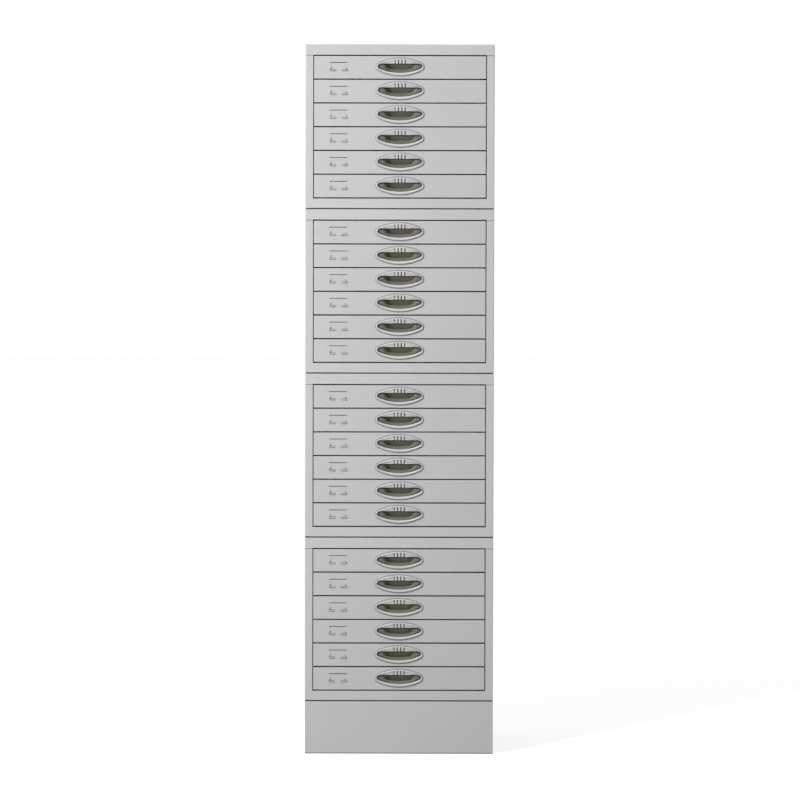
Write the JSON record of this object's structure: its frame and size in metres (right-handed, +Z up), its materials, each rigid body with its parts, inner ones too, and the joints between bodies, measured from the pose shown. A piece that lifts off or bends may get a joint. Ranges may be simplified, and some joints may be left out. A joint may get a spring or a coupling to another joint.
{
  "type": "microscope slide cabinet",
  "caption": "Tall narrow steel cabinet for microscope slides: stacked modules of shallow flush drawers with recessed lens-shaped pulls and card holders, on a plain plinth.",
  "frame": {"origin": "on the floor, in the middle of the footprint", "axes": "+Z up, -Y towards the user and the way the drawers open, +X to the right seen from the front"},
  "size_m": [0.465, 0.45, 1.75],
  "materials": {
    "casing_powder_coat": "fine satin powder coat",
    "drawer_powder_coat": "fine satin powder coat",
    "pull_powder_coat": "satin paint",
    "runner_steel": "zinc plated"
  },
  "bodies": {
    "cabinet": {"plinth_base": "casing_powder_coat", "module_1_casing": "casing_powder_coat", "module_2_casing": "casing_powder_coat", "module_3_casing": "casing_powder_coat", "module_4_casing": "casing_powder_coat", "module_1_back_panel": "casing_powder_coat", "module_2_back_panel": "casing_powder_coat", "module_3_back_panel": "casing_powder_coat", "module_4_back_panel": "casing_powder_coat", "left_runners": "runner_steel", "right_runners": "runner_steel"},
    "drawer_1_1": {"drawer_1_1_box": "drawer_powder_coat", "drawer_1_1_pull": "pull_powder_coat"},
    "drawer_1_2": {"drawer_1_2_box": "drawer_powder_coat", "drawer_1_2_pull": "pull_powder_coat"},
    "drawer_1_3": {"drawer_1_3_box": "drawer_powder_coat", "drawer_1_3_pull": "pull_powder_coat"},
    "drawer_1_4": {"drawer_1_4_box": "drawer_powder_coat", "drawer_1_4_pull": "pull_powder_coat"},
    "drawer_1_5": {"drawer_1_5_box": "drawer_powder_coat", "drawer_1_5_pull": "pull_powder_coat"},
    "drawer_1_6": {"drawer_1_6_box": "drawer_powder_coat", "drawer_1_6_pull": "pull_powder_coat"},
    "drawer_2_1": {"drawer_2_1_box": "drawer_powder_coat", "drawer_2_1_pull": "pull_powder_coat"},
    "drawer_2_2": {"drawer_2_2_box": "drawer_powder_coat", "drawer_2_2_pull": "pull_powder_coat"},
    "drawer_2_3": {"drawer_2_3_box": "drawer_powder_coat", "drawer_2_3_pull": "pull_powder_coat"},
    "drawer_2_4": {"drawer_2_4_box": "drawer_powder_coat", "drawer_2_4_pull": "pull_powder_coat"},
    "drawer_2_5": {"drawer_2_5_box": "drawer_powder_coat", "drawer_2_5_pull": "pull_powder_coat"},
    "drawer_2_6": {"drawer_2_6_box": "drawer_powder_coat", "drawer_2_6_pull": "pull_powder_coat"},
    "drawer_3_1": {"drawer_3_1_box": "drawer_powder_coat", "drawer_3_1_pull": "pull_powder_coat"},
    "drawer_3_2": {"drawer_3_2_box": "drawer_powder_coat", "drawer_3_2_pull": "pull_powder_coat"},
    "drawer_3_3": {"drawer_3_3_box": "drawer_powder_coat", "drawer_3_3_pull": "pull_powder_coat"},
    "drawer_3_4": {"drawer_3_4_box": "drawer_powder_coat", "drawer_3_4_pull": "pull_powder_coat"},
    "drawer_3_5": {"drawer_3_5_box": "drawer_powder_coat", "drawer_3_5_pull": "pull_powder_coat"},
    "drawer_3_6": {"drawer_3_6_box": "drawer_powder_coat", "drawer_3_6_pull": "pull_powder_coat"},
    "drawer_4_1": {"drawer_4_1_box": "drawer_powder_coat", "drawer_4_1_pull": "pull_powder_coat"},
    "drawer_4_2": {"drawer_4_2_box": "drawer_powder_coat", "drawer_4_2_pull": "pull_powder_coat"},
    "drawer_4_3": {"drawer_4_3_box": "drawer_powder_coat", "drawer_4_3_pull": "pull_powder_coat"},
    "drawer_4_4": {"drawer_4_4_box": "drawer_powder_coat", "drawer_4_4_pull": "pull_powder_coat"},
    "drawer_4_5": {"drawer_4_5_box": "drawer_powder_coat", "drawer_4_5_pull": "pull_powder_coat"},
    "drawer_4_6": {"drawer_4_6_box": "drawer_powder_coat", "drawer_4_6_pull": "pull_powder_coat"}
  },
  "joints": [
    {"name": "drawer_1_1_slide", "type": "slide", "parent": "cabinet", "child": "drawer_1_1", "axis": [0, -1, 0], "range_m": [0, 0.33]},
    {"name": "drawer_1_2_slide", "type": "slide", "parent": "cabinet", "child": "drawer_1_2", "axis": [0, -1, 0], "range_m": [0, 0.33]},
    {"name": "drawer_1_3_slide", "type": "slide", "parent": "cabinet", "child": "drawer_1_3", "axis": [0, -1, 0], "range_m": [0, 0.33]},
    {"name": "drawer_1_4_slide", "type": "slide", "parent": "cabinet", "child": "drawer_1_4", "axis": [0, -1, 0], "range_m": [0, 0.33]},
    {"name": "drawer_1_5_slide", "type": "slide", "parent": "cabinet", "child": "drawer_1_5", "axis": [0, -1, 0], "range_m": [0, 0.33]},
    {"name": "drawer_1_6_slide", "type": "slide", "parent": "cabinet", "child": "drawer_1_6", "axis": [0, -1, 0], "range_m": [0, 0.33]},
    {"name": "drawer_2_1_slide", "type": "slide", "parent": "cabinet", "child": "drawer_2_1", "axis": [0, -1, 0], "range_m": [0, 0.33]},
    {"name": "drawer_2_2_slide", "type": "slide", "parent": "cabinet", "child": "drawer_2_2", "axis": [0, -1, 0], "range_m": [0, 0.33]},
    {"name": "drawer_2_3_slide", "type": "slide", "parent": "cabinet", "child": "drawer_2_3", "axis": [0, -1, 0], "range_m": [0, 0.33]},
    {"name": "drawer_2_4_slide", "type": "slide", "parent": "cabinet", "child": "drawer_2_4", "axis": [0, -1, 0], "range_m": [0, 0.33]},
    {"name": "drawer_2_5_slide", "type": "slide", "parent": "cabinet", "child": "drawer_2_5", "axis": [0, -1, 0], "range_m": [0, 0.33]},
    {"name": "drawer_2_6_slide", "type": "slide", "parent": "cabinet", "child": "drawer_2_6", "axis": [0, -1, 0], "range_m": [0, 0.33]},
    {"name": "drawer_3_1_slide", "type": "slide", "parent": "cabinet", "child": "drawer_3_1", "axis": [0, -1, 0], "range_m": [0, 0.33]},
    {"name": "drawer_3_2_slide", "type": "slide", "parent": "cabinet", "child": "drawer_3_2", "axis": [0, -1, 0], "range_m": [0, 0.33]},
    {"name": "drawer_3_3_slide", "type": "slide", "parent": "cabinet", "child": "drawer_3_3", "axis": [0, -1, 0], "range_m": [0, 0.33]},
    {"name": "drawer_3_4_slide", "type": "slide", "parent": "cabinet", "child": "drawer_3_4", "axis": [0, -1, 0], "range_m": [0, 0.33]},
    {"name": "drawer_3_5_slide", "type": "slide", "parent": "cabinet", "child": "drawer_3_5", "axis": [0, -1, 0], "range_m": [0, 0.33]},
    {"name": "drawer_3_6_slide", "type": "slide", "parent": "cabinet", "child": "drawer_3_6", "axis": [0, -1, 0], "range_m": [0, 0.33]},
    {"name": "drawer_4_1_slide", "type": "slide", "parent": "cabinet", "child": "drawer_4_1", "axis": [0, -1, 0], "range_m": [0, 0.33]},
    {"name": "drawer_4_2_slide", "type": "slide", "parent": "cabinet", "child": "drawer_4_2", "axis": [0, -1, 0], "range_m": [0, 0.33]},
    {"name": "drawer_4_3_slide", "type": "slide", "parent": "cabinet", "child": "drawer_4_3", "axis": [0, -1, 0], "range_m": [0, 0.33]},
    {"name": "drawer_4_4_slide", "type": "slide", "parent": "cabinet", "child": "drawer_4_4", "axis": [0, -1, 0], "range_m": [0, 0.33]},
    {"name": "drawer_4_5_slide", "type": "slide", "parent": "cabinet", "child": "drawer_4_5", "axis": [0, -1, 0], "range_m": [0, 0.33]},
    {"name": "drawer_4_6_slide", "type": "slide", "parent": "cabinet", "child": "drawer_4_6", "axis": [0, -1, 0], "range_m": [0, 0.33]}
  ]
}
